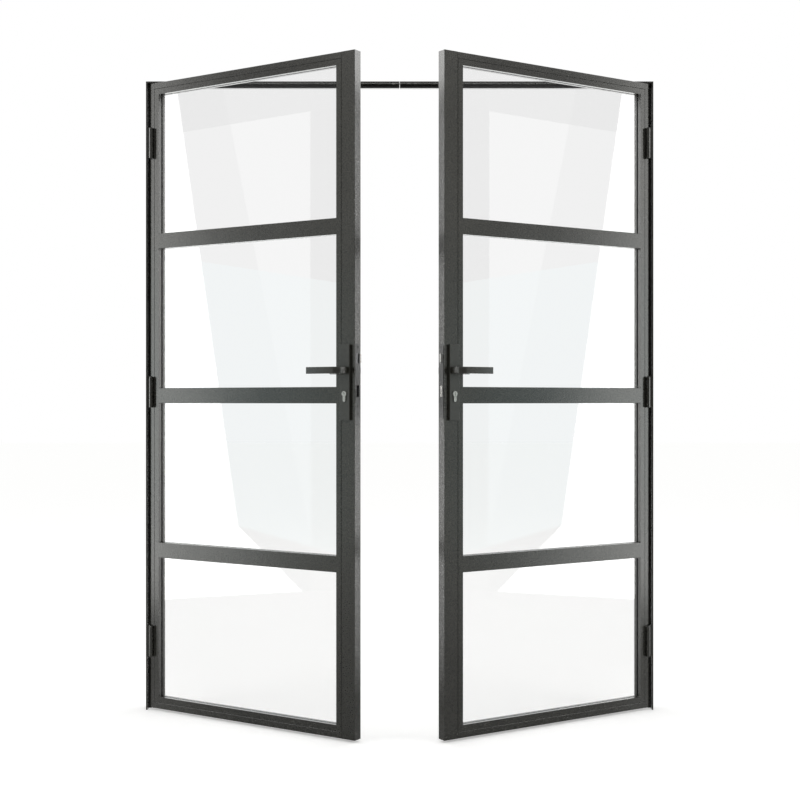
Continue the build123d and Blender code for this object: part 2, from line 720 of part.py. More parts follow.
def latch():
    """Latch with a rounded nose, drawn at rest with the nose out."""
    nose = -FACEPLATE_PROUD - LATCH_PROJECTION
    shape = along_edge(Rectangle(LATCH_WIDTH, LATCH_HEIGHT), LATCH_AXIS, nose, nose + LATCH_LENGTH)
    front = shape.faces().sort_by(Axis.X)[-1]
    return fillet(front.edges().filter_by(Axis.Z), LATCH_NOSE_RADIUS)


def deadbolt():
    """Deadbolt, withdrawn and flush with the faceplate."""
    outline = Rectangle(BOLT_WIDTH, BOLT_HEIGHT)
    return along_edge(outline, BOLT_AXIS, -FACEPLATE_PROUD, BOLT_LENGTH - FACEPLATE_PROUD)


def shoot_bolt():
    """Rod from the case to the top of the left leaf, withdrawn."""
    z = (CASE_TOP - ROD_CASE_DEPTH, LEAF_TOP - ROD_TOP_DROP)
    return upright(Pos(from_edge(ROD_INSET), MIDDLE_DEPTH) * Circle(ROD_RADIUS), z)


# Nodes


def frame_nodes():
    """Solids of the frame, by node name."""
    bar = splice()
    bush_hole = extrude(keep_place() * Circle(KEEP_RADIUS), amount=FRAME_PLATE)
    head = head_run(frame_section()) - bar
    seal = jamb_run(seal_section()) + head_run(seal_section())
    middles = hinge_heights()
    left = {
        "jamb": [jamb()],
        "head": [head],
        "seal": [seal],
        "hinge_plates": [hinge_plate(middle) for middle in middles],
        "hinge_pins": [hinge_pin(middle) for middle in middles],
    }
    nodes = {}
    for name, solids in left.items():
        nodes["left_" + name] = solids
        nodes["right_" + name] = mirrored(solids)
    nodes["left_head"] = [head - bush_hole]
    nodes["head_splice"] = [bar]
    nodes["keep_bush"] = [keep_bush()]
    return nodes


def shared_leaf_nodes():
    """Solids that both leaves have, drawn as the closed left leaf."""
    return {
        "hinge_stile": [hinge_stile()],
        "top_rail": [rail(LEAF_TOP, DOWN, X)],
        "bottom_rail": [rail(FLOOR_GAP, Z, BACK_X)],
        "glass": [glass()],
        "beads": beads(),
        "front_tape": [tape(BEAD_DEPTH)],
        "back_tape": [tape(GLASS_BACK)],
        "front_bars": bars((0, GLASS_FRONT)),
        "back_bars": bars((GLASS_BACK, LEAF_DEPTH)),
        "hinge_barrels": [hinge_barrel(middle) for middle in hinge_heights()],
        "front_plate": [handle_plate()],
        "back_plate": [to_back(handle_plate())],
        "front_lever": [lever(LEVER_STAND_OFF)],
        "back_lever": [to_back(lever(BACK_LEVER_STAND_OFF))],
        "spindle": [spindle()],
        "cylinder": [cylinder()],
        "plug": [plug()],
    }


def left_leaf_nodes():
    """The passive leaf, with its strike plate and shoot bolt."""
    solids = shared_leaf_nodes()
    solids["lock_stile"] = [lock_stile(STRIKE_BOTTOM, STRIKE_PROUD, rod=True)]
    solids["lock_case"] = [left_lock_case()]
    solids["strike_plate"] = [edge_plate(STRIKE_BOTTOM, STRIKE_PROUD, STRIKE_CLEARANCE, STRIKE_CLEARANCE)]
    solids["shoot_bolt"] = [shoot_bolt()]
    return {"left_" + name: [swung(solid) for solid in group] for name, group in solids.items()}


def right_leaf_nodes():
    """The active leaf, with its faceplate, latch and deadbolt."""
    solids = shared_leaf_nodes()
    solids["lock_stile"] = [lock_stile(FACEPLATE_BOTTOM, FACEPLATE_PROUD, rod=False)]
    solids["lock_case"] = [right_lock_case()]
    solids["faceplate"] = [edge_plate(FACEPLATE_BOTTOM, FACEPLATE_PROUD, BOLT_FIT, BOLT_FIT)]
    solids["latch"] = [latch()]
    solids["deadbolt"] = [deadbolt()]
    return {
        "right_" + name: mirrored([swung(solid) for solid in group]) for name, group in solids.items()
    }


def mirrored(solids):
    """The same solids on the other side of the middle."""
    return [mirror(solid, about=Plane.YZ) for solid in solids]


def main():
    """Write one STEP file for each node."""
    os.makedirs("parts", exist_ok=True)
    nodes = {**frame_nodes(), **left_leaf_nodes(), **right_leaf_nodes()}
    for name, solids in nodes.items():
        pieces = [piece for solid in solids for piece in solid.solids()]
        shape = pieces[0] if len(pieces) == 1 else Compound(pieces)
        export_step(shape, f"parts/{name}.step")
    print(len(nodes), "nodes")


main()
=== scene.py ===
"""Looks of a pair of glazed steel French doors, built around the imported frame."""

import json
import logging
import math
from dataclasses import dataclass
from enum import Enum
from typing import Any, Callable, Sequence, Union

import bmesh
import bpy
import numpy as np
from mathutils import Matrix, Vector

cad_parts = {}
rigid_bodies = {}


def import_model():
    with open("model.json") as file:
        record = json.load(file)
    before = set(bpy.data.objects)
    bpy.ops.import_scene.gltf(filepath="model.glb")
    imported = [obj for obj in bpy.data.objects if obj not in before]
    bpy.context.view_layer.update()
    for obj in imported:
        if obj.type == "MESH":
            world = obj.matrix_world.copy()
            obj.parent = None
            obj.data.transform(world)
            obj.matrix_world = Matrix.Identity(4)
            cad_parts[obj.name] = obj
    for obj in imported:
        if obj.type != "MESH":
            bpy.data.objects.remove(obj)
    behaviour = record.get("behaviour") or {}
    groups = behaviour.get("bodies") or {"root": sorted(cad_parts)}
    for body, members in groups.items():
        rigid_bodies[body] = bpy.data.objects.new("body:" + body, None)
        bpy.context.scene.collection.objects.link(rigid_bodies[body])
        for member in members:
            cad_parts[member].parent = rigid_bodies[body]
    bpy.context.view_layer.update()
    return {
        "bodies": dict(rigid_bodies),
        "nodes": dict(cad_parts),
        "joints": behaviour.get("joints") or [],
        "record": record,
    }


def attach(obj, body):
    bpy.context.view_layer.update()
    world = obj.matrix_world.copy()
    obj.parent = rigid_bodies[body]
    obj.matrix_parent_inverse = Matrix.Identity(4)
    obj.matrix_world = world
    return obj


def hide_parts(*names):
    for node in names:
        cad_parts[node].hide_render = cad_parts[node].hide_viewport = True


logging.basicConfig(level=logging.INFO, format="%(message)s")
log = logging.getLogger("doors")

Colour = tuple[float, float, float]
Point = tuple[float, float, float]
Range = tuple[float, float]
MM = 0.001
WHITE = (1.0, 1.0, 1.0, 1.0)
CRISP_PAST = 35.0
SCREW_CRISP_PAST = 30.0


class Side(Enum):
    """The two leaves, with the sign of X on their side."""

    LEFT = -1
    RIGHT = 1

    @property
    def prefix(self) -> str:
        """Start of the names of this side's nodes."""
        return self.name.lower() + "_"

    @property
    def leaf(self) -> str:
        """Body that carries this side's leaf."""
        return self.prefix + "leaf"


class Outward(Enum):
    """Faces of a closed leaf that a screw can sit in, as the way out in (in from the edge, back, up)."""

    FRONT = (0, -1, 0)
    BACK = (0, 1, 0)
    EDGE = (-1, 0, 0)


# Shader maths


class Value:
    """A number inside a shader graph, with Python's operators."""

    def __init__(self, graph: "Graph", socket: bpy.types.NodeSocket) -> None:
        """Wrap an output socket.

        Args:
            graph: the graph that the socket belongs to.
            socket: the output socket.
        """
        self.graph, self.socket = graph, socket

    def _math(self, operation: str, *terms: Union["Value", float]) -> "Value":
        """Add one Math node.

        Args:
            operation: the node's operation.
            terms: its inputs, in order.

        Returns:
            The node's value.
        """
        return self.graph.add("ShaderNodeMath", dict(enumerate(terms)), operation=operation).value()

    def __add__(self, other: Union["Value", float]) -> "Value":
        """Sum."""
        return self._math("ADD", self, other)

    def __sub__(self, other: Union["Value", float]) -> "Value":
        """Difference."""
        return self._math("SUBTRACT", self, other)

    def __rsub__(self, other: float) -> "Value":
        """Difference from a number."""
        return self._math("SUBTRACT", other, self)

    def __mul__(self, other: Union["Value", float]) -> "Value":
        """Product."""
        return self._math("MULTIPLY", self, other)

    def __pow__(self, other: float) -> "Value":
        """Power."""
        return self._math("POWER", self, other)

    __radd__ = __add__
    __rmul__ = __mul__

    def largest(self, other: Union["Value", float]) -> "Value":
        """The larger of two values."""
        return self._math("MAXIMUM", self, other)

    def eased(self, low: float, high: float) -> "Value":
        """Smooth change from 0 to 1 between two numbers.

        Args:
            low: value up to which the result is 0.
            high: value from which it is 1.

        Returns:
            The eased value.
        """
        inputs = {"Value": self, "From Min": low, "From Max": high}
        return self.graph.add("ShaderNodeMapRange", inputs, interpolation_type="SMOOTHSTEP").value("Result")


class Added:
    """A node just added to a graph."""

    def __init__(self, graph: "Graph", node: bpy.types.Node) -> None:
        """Keep the node and its graph.

        Args:
            graph: the graph.
            node: the node.
        """
        self.graph, self.node = graph, node

    def value(self, name: Union[str, int] = 0) -> Value:
        """One output, ready for maths."""
        return Value(self.graph, self.node.outputs[name])

    def out(self, name: Union[str, int] = 0) -> bpy.types.NodeSocket:
        """One output socket."""
        return self.node.outputs[name]


class Graph:
    """Adds nodes to a tree: settings first, then the values or links of the sockets."""

    def __init__(self, tree: bpy.types.NodeTree) -> None:
        """Start from an empty tree.

        Args:
            tree: the node tree, which is cleared.
        """
        self.tree = tree
        tree.nodes.clear()

    def add(self, kind: str, inputs: dict[Union[str, int], Any] | None = None, **settings: Any) -> Added:
        """Add one node.

        Args:
            kind: node type.
            inputs: socket name or index to a number, colour, Value or socket.
            settings: attributes of the node.

        Returns:
            The added node.
        """
        node = self.tree.nodes.new(kind)
        for name, setting in settings.items():
            setattr(node, name, setting)
        for name, given in (inputs or {}).items():
            if isinstance(given, Value):
                given = given.socket
            if isinstance(given, bpy.types.NodeSocket):
                self.tree.links.new(given, node.inputs[name])
            else:
                node.inputs[name].default_value = given
        return Added(self, node)

    def noise(self, size: float, detail: float = 2.0, stretch: Point = (1.0, 1.0, 1.0)) -> Value:
        """Noise on object coordinates.

        Args:
            size: rough size of one grain in metres.
            detail: number of finer layers.
            stretch: scale on each axis, for brushed grain.

        Returns:
            The noise, about 0.5 on average.
        """
        place = self.add("ShaderNodeTexCoord").out("Object")
        place = self.add("ShaderNodeMapping", {"Vector": place, "Scale": stretch}).out()
        inputs = {"Vector": place, "Scale": 1.0 / size, "Detail": detail}
        return self.add("ShaderNodeTexNoise", inputs).value(0)

    def tint(self, low: Colour, high: Colour, amount: Value) -> bpy.types.NodeSocket:
        """Mix two colours by a value.

        Args:
            low: colour at 0.
            high: colour at 1.
            amount: the value.

        Returns:
            The colour socket.
        """
        inputs = {0: amount, 6: (*low, 1.0), 7: (*high, 1.0)}
        return self.add("ShaderNodeMix", inputs, data_type="RGBA").out(2)

    def bump(self, height: Value, depth: float) -> bpy.types.NodeSocket:
        """Bump from a height map, whose height of one is this deep in metres."""
        return self.add("ShaderNodeBump", {"Height": height, "Distance": depth}).out()

    def principled(self, **inputs: Any) -> bpy.types.NodeSocket:
        """The Principled shader, with underscores for the spaces of its sockets' names."""
        named = {name.replace("_", " "): given for name, given in inputs.items()}
        return self.add("ShaderNodeBsdfPrincipled", named).out()

    def eye(self) -> Value:
        """One for rays of the eye and of glass."""
        path = self.add("ShaderNodeLightPath")
        return path.value("Is Camera Ray").largest(path.value("Is Transmission Ray"))

    def gloss(self) -> Value:
        """One for rays that a gloss sends out."""
        return self.add("ShaderNodeLightPath").value("Is Glossy Ray")


def new_material(name: str, build: Callable[[Graph], bpy.types.NodeSocket]) -> bpy.types.Material:
    """Make a node material.

    Args:
        name: the material's name.
        build: adds the nodes and returns the shader socket.

    Returns:
        The material.
    """
    material = bpy.data.materials.new(name)
    material.use_nodes = True
    graph = Graph(material.node_tree)
    graph.add("ShaderNodeOutputMaterial", {"Surface": build(graph)})
    return material


# Finishes


@dataclass(frozen=True)
class PowderCoat:
    """Fine-textured dark powder coat: grains of cured powder with a satin sheen."""

    name: str = "powder_coat"
    dark: Colour = (0.0035, 0.0037, 0.0025)
    light: Colour = (0.0370, 0.0360, 0.0295)
    roughness: float = 0.22
    spread: float = 0.16
    grain: float = 3.6 * MM
    grain_depth: float = 0.060 * MM
    wave: float = 14 * MM
    wave_depth: float = 0.050 * MM
    ior: float = 1.45
    cloud: float = 180 * MM
    cloud_share: float = 0.25
    cloud_gloss: float = 0.06
    speckle: Range = (0.36, 0.68)

    def material(self) -> bpy.types.Material:
        """The coat."""
        return new_material(self.name, self._shader)

    def _shader(self, graph: Graph) -> bpy.types.NodeSocket:
        """Fine grain in colour, gloss and bump, over a slow orange-peel wave and faint clouds.

        Args:
            graph: graph to add to.

        Returns:
            The shader socket.
        """
        grain = graph.noise(self.grain, detail=3.0)
        cloud = graph.noise(self.cloud, detail=3.0)
        wave = graph.noise(self.wave, detail=1.0)
        shade = grain.eased(*self.speckle) * (1 - self.cloud_share) + cloud * self.cloud_share
        height = grain * (self.grain_depth / MM) + wave * (self.wave_depth / MM)
        return graph.principled(
            Base_Color=graph.tint(self.dark, self.light, shade),
            Roughness=(0.5 - grain) * self.spread + (cloud - 0.5) * self.cloud_gloss + self.roughness,
            Normal=graph.bump(height, MM),
            IOR=self.ior,
        )


@dataclass(frozen=True)
class PlatedSteel:
    """Nickel or zinc plate with a faint brushed grain along one axis."""

    name: str
    colour: Colour = (0.27, 0.265, 0.255)
    roughness: float = 0.26
    grain: float = 1.5 * MM
    stretch: Point = (1.0, 1.0, 0.06)
    depth: float = 0.010 * MM
    grain_gloss: float = 0.18
    cloud: float = 14 * MM
    cloud_gloss: float = 0.1
    bright_patches: Range = (0.25, 0.65)
    dull_share: float = 0.8

    def material(self) -> bpy.types.Material:
        """The plate."""
        return new_material(self.name, self._shader)

    def _shader(self, graph: Graph) -> bpy.types.NodeSocket:
        """Brushed bump and gloss under slow clouds of dull and bright plate.

        Args:
            graph: graph to add to.

        Returns:
            The shader socket.
        """
        brushed = graph.noise(self.grain, detail=4.0, stretch=self.stretch)
        cloud = graph.noise(self.cloud)
        dull: Colour = tuple(self.dull_share * part for part in self.colour)
        return graph.principled(
            Base_Color=graph.tint(dull, self.colour, cloud.eased(*self.bright_patches)),
            Metallic=1.0,
            Roughness=(brushed - 0.5) * self.grain_gloss + (cloud - 0.5) * self.cloud_gloss + self.roughness,
            Normal=graph.bump(brushed, self.depth),
        )


@dataclass(frozen=True)
class FloatGlass:
    """Clear float glass, faintly smudged.

    Each face of the pane lets light straight through with a tint, and mirrors the share
    base + (1 - base) f^fall of it, where f goes from 0 for a square look to 1 for a grazing one.
    """

    name: str = "float_glass"
    tint: Colour = (0.945, 0.945, 0.945)
    base: float = 0.043
    fall: float = 5.0
    smudge: float = 90 * MM
    smudged: Range = (0.6, 0.9)
    smudge_roughness: float = 0.02

    def material(self) -> bpy.types.Material:
        """The glass."""
        return new_material(self.name, self._shader)

    def _shader(self, graph: Graph) -> bpy.types.NodeSocket:
        """Clear tint with the mirror's share mixed in.

        Args:
            graph: graph to add to.

        Returns:
            The shader socket.
        """
        slant = graph.add("ShaderNodeLayerWeight", {"Blend": 0.5}).value("Facing")
        share = (slant**self.fall) * (1.0 - self.base) + self.base
        rough = graph.noise(self.smudge, detail=4.0).eased(*self.smudged) * self.smudge_roughness
        clear = graph.add("ShaderNodeBsdfTransparent", {"Color": (*self.tint, 1.0)}).out()
        mirror = graph.add("ShaderNodeBsdfGlossy", {"Color": WHITE, "Roughness": rough}).out()
        return graph.add("ShaderNodeMixShader", {0: share, 1: clear, 2: mirror}).out()


@dataclass(frozen=True)
class SoftBlack:
    """Black rubber, foam or nylon with a dusty pore."""

    name: str
    colour: Colour = (0.012, 0.012, 0.013)
    roughness: float = 0.75
    pore: float = 0.6 * MM
    pore_gloss: float = 0.2
    pore_depth: float = 0.05 * MM
    dusty: Range = (0.5, 0.8)
    dust_share: float = 2.2

    def material(self) -> bpy.types.Material:
        """The rubber."""
        return new_material(self.name, self._shader)

    def _shader(self, graph: Graph) -> bpy.types.NodeSocket:
        """Pores in colour, gloss and bump.

        Args:
            graph: graph to add to.

        Returns:
            The shader socket.
        """
        pores = graph.noise(self.pore)
        pale: Colour = tuple(self.dust_share * part for part in self.colour)
        return graph.principled(
            Base_Color=graph.tint(self.colour, pale, pores.eased(*self.dusty)),
            Roughness=pores * self.pore_gloss + (self.roughness - self.pore_gloss / 2),
            Normal=graph.bump(pores, self.pore_depth),
        )


@dataclass(frozen=True)
class Finishes:
    """One material for each slot of the record, and those of single pieces."""

    powder_coat: bpy.types.Material
    handle_coat: bpy.types.Material
    edge_plate: bpy.types.Material
    bright_steel: bpy.types.Material
    dull_zinc: bpy.types.Material
    black_screw: bpy.types.Material
    seal: bpy.types.Material
    glazing_tape: bpy.types.Material
    glass: bpy.types.Material

    @classmethod
    def make(cls) -> "Finishes":
        """Make every finish once."""
        handle = PowderCoat(
            "handle_coat", roughness=0.27, grain=0.8 * MM, grain_depth=0.016 * MM, wave=5 * MM
        )
        edge = PowderCoat(
            "edge_plate_coat",
            dark=(0.012, 0.012, 0.012),
            light=(0.022, 0.022, 0.022),
            roughness=0.3,
            spread=0.1,
            grain=0.9 * MM,
            grain_depth=0.014 * MM,
        )
        return cls(
            powder_coat=PowderCoat().material(),
            handle_coat=handle.material(),
            edge_plate=edge.material(),
            bright_steel=PlatedSteel("nickel_plate").material(),
            dull_zinc=PlatedSteel("dull_zinc", (0.16, 0.16, 0.165), 0.5).material(),
            black_screw=PlatedSteel("black_oxide", (0.035, 0.035, 0.035), 0.38).material(),
            seal=SoftBlack("seal_rubber").material(),
            glazing_tape=SoftBlack("glazing_foam", roughness=0.85, pore=0.9 * MM).material(),
            glass=FloatGlass().material(),
        )


# Meshes


@dataclass
class Shape:
    """Points and faces of a closed surface, not yet in a mesh."""

    points: np.ndarray
    faces: list[Sequence[int]]

    @staticmethod
    def joined(shapes: Sequence["Shape"]) -> "Shape":
        """Several shapes as one."""
        starts = np.cumsum([0] + [len(shape.points) for shape in shapes])
        faces = [
            [index + start for index in face] for shape, start in zip(shapes, starts) for face in shape.faces
        ]
        return Shape(np.concatenate([shape.points for shape in shapes]), faces)

    def moved(self, carry: Callable[[np.ndarray], np.ndarray]) -> "Shape":
        """The shape with its points carried elsewhere."""
        return Shape(carry(self.points), self.faces)


def lofted(rings: np.ndarray) -> Shape:
    """Close a stack of rings into a solid: quads between the rings and one face on each end.

    Args:
        rings: places as (rings, points in a ring, 3).

    Returns:
        The shape.
    """
    rows, columns = rings.shape[:2]
    row, column = np.meshgrid(np.arange(rows - 1), np.arange(columns), indexing="ij")
    after = (column + 1) % columns
    here, above = row * columns, (row + 1) * columns
    quads = np.stack((here + column, here + after, above + after, above + column), axis=-1)
    first, last = np.arange(columns)[::-1], np.arange(columns) + (rows - 1) * columns
    return Shape(rings.reshape(-1, 3), [*quads.reshape(-1, 4).tolist(), first.tolist(), last.tolist()])


def rounded_outline(corners: Sequence[Point], steps: int = 9) -> tuple[np.ndarray, np.ndarray]:
    """Points and outward normals of a closed outline with rounded corners.

    The normal n turns evenly from that of the edge before a corner to that of the edge after it.
    The point is the corner + s r (n - (n1 + n2) / (1 + n1.n2)), where s is the way of the turn.

    Args:
        corners: x, y and radius of each corner, either way round.
        steps: points on each corner.

    Returns:
        The points and the normals, as arrays of (n, 2).
    """
    table = np.array(corners, float)
    place, radius = table[:, :2], table[:, 2]
    edge = np.roll(place, -1, axis=0) - place
    if (place[:, 0] * edge[:, 1] - place[:, 1] * edge[:, 0]).sum() < 0:
        return rounded_outline(corners[::-1], steps)
    edge /= np.linalg.norm(edge, axis=1)[:, None]
    after = np.column_stack((edge[:, 1], -edge[:, 0]))
    before = np.roll(after, 1, axis=0)
    start = np.arctan2(before[:, 1], before[:, 0])
    turn = np.arctan2(np.cross(before, after), (before * after).sum(axis=1))
    angle = start[:, None] + turn[:, None] * np.linspace(0, 1, steps)
    normal = np.stack((np.cos(angle), np.sin(angle)), axis=-1)
    middle = (before + after) / (1 + (before * after).sum(axis=1))[:, None]
    reach = (np.sign(turn) * radius)[:, None, None]
    points = place[:, None] + reach * (normal - middle[:, None])
    return points.reshape(-1, 2), normal.reshape(-1, 2)


def slab(corners: Sequence[Point], low: float, high: float, rim: float, steps: int = 5) -> Shape:
    """A plate of this outline with both rims rounded.

    Each row of points is the outline moved in along its normals by rim (1 - cos a), at a height
    of rim (1 - sin a) from the face, with a from a right angle at the face to 0 at the side.

    Args:
        corners: x, y and radius of each corner of the outline.
        low: height of the lower face.
        high: height of the upper face.
        rim: radius of the rims.
        steps: rows of points on each rim.

    Returns:
        The shape, with the outline in x and y.
    """
    points, normals = rounded_outline(corners)
    angle = np.linspace(math.pi / 2, 0, steps)
    inset = rim * (1 - np.cos(angle))
    rise = rim * (1 - np.sin(angle))
    insets = np.concatenate((inset, inset[::-1]))
    heights = np.concatenate((low + rise, high - rise[::-1]))
    flat = points[None] - insets[:, None, None] * normals[None]
    level = np.broadcast_to(heights[:, None, None], (*flat.shape[:2], 1))
    return lofted(np.concatenate((flat, level), axis=-1))


def turned(profile: Sequence[tuple[float, float]], spokes: int = 48) -> Shape:
    """A profile of (radius, height) turned about the z axis: x = r cos a, y = r sin a.

    Args:
        profile: from one pole to the other.
        spokes: points round the axis.

    Returns:
        The shape.
    """
    angle = np.linspace(0, 2 * math.pi, spokes, endpoint=False)
    radius, height = (column[:, None] for column in np.array(profile, float).T)
    x, y = radius * np.cos(angle), radius * np.sin(angle)
    return lofted(np.stack((x, y, np.broadcast_to(height, x.shape)), axis=-1))


def new_piece(
    name: str, shape: Shape, material: bpy.types.Material, sharp: float = CRISP_PAST
) -> bpy.types.Object:
    """Make an object at the origin from a closed shape in the row frame.

    Args:
        name: the piece's name.
        shape: its points and faces.
        material: its finish.
        sharp: angle in degrees past which an edge stays crisp.

    Returns:
        The object, with its faces outwards.
    """
    mesh = bpy.data.meshes.new(name)
    mesh.from_pydata(shape.points.tolist(), [], [list(face) for face in shape.faces])
    work = bmesh.new()
    work.from_mesh(mesh)
    bmesh.ops.recalc_face_normals(work, faces=work.faces)
    work.to_mesh(mesh)
    work.free()
    mesh.polygons.foreach_set("use_smooth", np.ones(len(mesh.polygons), bool))
    mesh.set_sharp_from_angle(angle=math.radians(sharp))
    mesh.materials.append(material)
    piece = bpy.data.objects.new(name, mesh)
    bpy.context.scene.collection.objects.link(piece)
    return piece


def ride(piece: bpy.types.Object, body: str, slot: str, *replaced: str) -> None:
    """Fasten a new piece to a body.

    Args:
        piece: the piece.
        body: the body that carries it.
        slot: the record's slot of its finish; not used.
        replaced: nodes that it stands for.
    """
    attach(piece, body)
    if replaced:
        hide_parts(*replaced)
    log.info("made %s", piece.name)


# Sub-assemblies


@dataclass(frozen=True)
class Leaf:
    """Size and place of an open leaf, which turns about its hinge axis.

    Places on it are given as the way in from the free edge, the depth behind the front face, and the height.
    """

    side: Side
    width: float = 851 * MM
    depth: float = 32 * MM
    glass_front: float = 14 * MM
    inboard: float = 12 * MM
    hinge: tuple[float, float] = (841 * MM, -7.3 * MM)
    angle: float = math.radians(33.5)

    def carry(self, places: np.ndarray) -> np.ndarray:
        """Carry places on the leaf to the row frame.

        The way from the hinge axis, along the leaf and back from it, is turned by the rest angle.

        Args:
            places: rows of (way in from the free edge, depth, height).

        Returns:
            Rows of (x, y, z).
        """
        along = self.width - self.inboard - places[:, 0]
        back = places[:, 1] - self.hinge[1]
        sine, cosine = math.sin(self.angle), math.cos(self.angle)
        x = self.hinge[0] - along * cosine - back * sine
        y = self.hinge[1] - along * sine + back * cosine
        return np.column_stack((x * self.side.value, y, places[:, 2]))


@dataclass(frozen=True)
class Screw:
    """Raised countersunk screw with a cross recess.

    Over the head the height is dome (1 - (r / R)^2) less the depth of the recess, which eases
    to nothing at the sides and at the ends of its two arms.
    """

    head: float = 3.6 * MM
    dome: float = 0.45 * MM
    recess: float = 1.0 * MM
    sunk: float = 1.2 * MM
    arm_width: float = 0.15
    arm_reach: float = 0.58
    side_slope: float = 0.3
    end_slope: float = 0.2
    shank: float = 0.6
    pole: float = 0.02
    rings: int = 22
    spokes: int = 48

    def shape(self) -> Shape:
        """The screw, with its face up and its middle at the origin."""
        angle = np.linspace(0, 2 * math.pi, self.spokes, endpoint=False)
        radius = self.head * np.linspace(1.0, self.pole, self.rings)[:, None]
        x, y = radius * np.cos(angle), radius * np.sin(angle)
        near = np.minimum(abs(x), abs(y)) / (self.arm_width * self.head)
        far = np.maximum(abs(x), abs(y)) / (self.arm_reach * self.head)
        sides = np.clip((1 + self.side_slope / 2 - near) / self.side_slope, 0, 1)
        ends = np.clip((1 - far) / self.end_slope, 0, 1)
        height = self.dome * (1 - (radius / self.head) ** 2) - self.recess * sides * ends
        face = np.stack((x, y, height), axis=-1)
        bottom = np.stack((self.shank * x[0], self.shank * y[0], np.full_like(x[0], -self.sunk)), axis=-1)
        return lofted(np.concatenate((bottom[None], face)))

    def on_leaf(self, leaf: Leaf, place: Point, way: Outward) -> Shape:
        """The screw in a face of a leaf.

        Args:
            leaf: the leaf.
            place: middle of the head on the leaf.
            way: the face that it sits in.

        Returns:
            The shape in the row frame.
        """
        out = np.array(way.value, float)
        up = np.array((0.0, 0.0, 1.0))
        turn = np.stack((np.cross(up, out), up, out))
        return self.shape().moved(lambda points: leaf.carry(points @ turn + np.array(place)))


@dataclass(frozen=True)
class LeverSet:
    """Two levers of a leaf: flat bars bent at the neck, with softly rounded edges."""

    leaf: Leaf
    finishes: Finishes
    backset: float = 32 * MM
    axis_height: float = 1141.5 * MM
    neck: float = 25 * MM
    arm: float = 12 * MM
    tall: float = 21 * MM
    length: float = 111 * MM
    foot: float = 9.3 * MM
    front_reach: float = 60 * MM
    back_reach: float = 43 * MM
    bend: float = 22 * MM
    inner_bend: float = 8 * MM
    foot_radius: float = 0.8 * MM
    tip_radius: float = 2.5 * MM
    rim: float = 1.6 * MM

    def build(self) -> None:
        """Both levers, in place of the plain ones."""
        half = self.tall / 2
        for face, reach in ((Outward.FRONT, self.front_reach), (Outward.BACK, self.back_reach)):
            shape = slab(self._outline(reach), self.axis_height - half, self.axis_height + half, self.rim)
            if face is Outward.BACK:
                shape = shape.moved(lambda points: points * (1, -1, 1) + (0, self.leaf.depth, 0))
            name = f"{self.leaf.side.prefix}{face.name.lower()}_lever"
            piece = new_piece(name + "_bar", shape.moved(self.leaf.carry), self.finishes.handle_coat)
            ride(piece, self.leaf.side.prefix + "lever_set", "handle_coat", name)

    def _outline(self, reach: float) -> list[Point]:
        """Corners of the lever seen from above: foot, bend, tip and inner bend.

        Args:
            reach: how far it stands in front of the leaf.

        Returns:
            Way in, depth and radius of each corner.
        """
        near, far = self.backset - self.neck / 2, self.backset + self.neck / 2
        tip = self.backset + self.length
        return [
            (near, -self.foot, self.foot_radius),
            (near, -reach, self.bend),
            (tip, -reach, self.tip_radius),
            (tip, self.arm - reach, self.tip_radius),
            (far, self.arm - reach, self.inner_bend),
            (far, -self.foot, self.foot_radius),
        ]


@dataclass(frozen=True)
class LeafScrews:
    """Screws of the handle plates and of the edge plate."""

    leaf: Leaf
    finishes: Finishes
    backset: float = 32 * MM
    plate_depth: float = 9 * MM
    plate_heights: tuple[float, ...] = (1206.5 * MM, 998.5 * MM)
    edge_proud: float = 1.3 * MM
    edge_heights: tuple[float, ...] = (1212.8 * MM, 1032 * MM, 1007.8 * MM)
    plate_screw: Screw = Screw(head=2.6 * MM, dome=0.25 * MM, recess=0.6 * MM)
    edge_screw: Screw = Screw(head=3.2 * MM, dome=0.2 * MM, recess=0.8 * MM)

    def build(self) -> None:
        """One piece with the screws of both plates, and one with those of the edge."""
        back = self.leaf.depth + self.plate_depth
        faces = ((-self.plate_depth, Outward.FRONT), (back, Outward.BACK))
        shapes = [
            self.plate_screw.on_leaf(self.leaf, (self.backset, depth, height), way)
            for depth, way in faces
            for height in self.plate_heights
        ]
        self._add("plate_screws", shapes)
        middle = (-self.edge_proud, self.leaf.depth / 2)
        shapes = [
            self.edge_screw.on_leaf(self.leaf, (*middle, height), Outward.EDGE)
            for height in self.edge_heights
        ]
        self._add("edge_screws", shapes)

    def _add(self, name: str, shapes: list[Shape]) -> None:
        """Join screws into a piece on the leaf.

        Args:
            name: end of the piece's name.
            shapes: the screws.
        """
        shape = Shape.joined(shapes)
        piece = new_piece(self.leaf.side.prefix + name, shape, self.finishes.black_screw, SCREW_CRISP_PAST)
        ride(piece, self.leaf.side.leaf, "bright_steel")


@dataclass(frozen=True)
class StrikeLip:
    """Tongue of the strike that wraps the back edge of the passive leaf at the latch."""

    leaf: Leaf
    finishes: Finishes
    thickness: float = 1.2 * MM
    front: float = 27.3 * MM
    overhang: float = 2.0 * MM
    leaf_clearance: float = 0.05 * MM
    heel_radius: float = 0.2 * MM
    front_radius: float = 0.4 * MM
    back_radius: float = 1.0 * MM
    rim: float = 0.5 * MM
    heights: Range = (1164 * MM, 1192 * MM)

    def build(self) -> None:
        """The tongue, from beside the strike to just past the back of the leaf."""
        back = self.leaf.depth + self.overhang
        corners = [
            (-self.leaf_clearance, self.front, self.heel_radius),
            (-self.thickness, self.front, self.front_radius),
            (-self.thickness, back, self.back_radius),
            (-self.leaf_clearance, back, self.heel_radius),
        ]
        shape = slab(corners, *self.heights, self.rim)
        piece = new_piece("left_strike_lip", shape.moved(self.leaf.carry), self.finishes.bright_steel)
        ride(piece, self.leaf.side.leaf, "bright_steel")


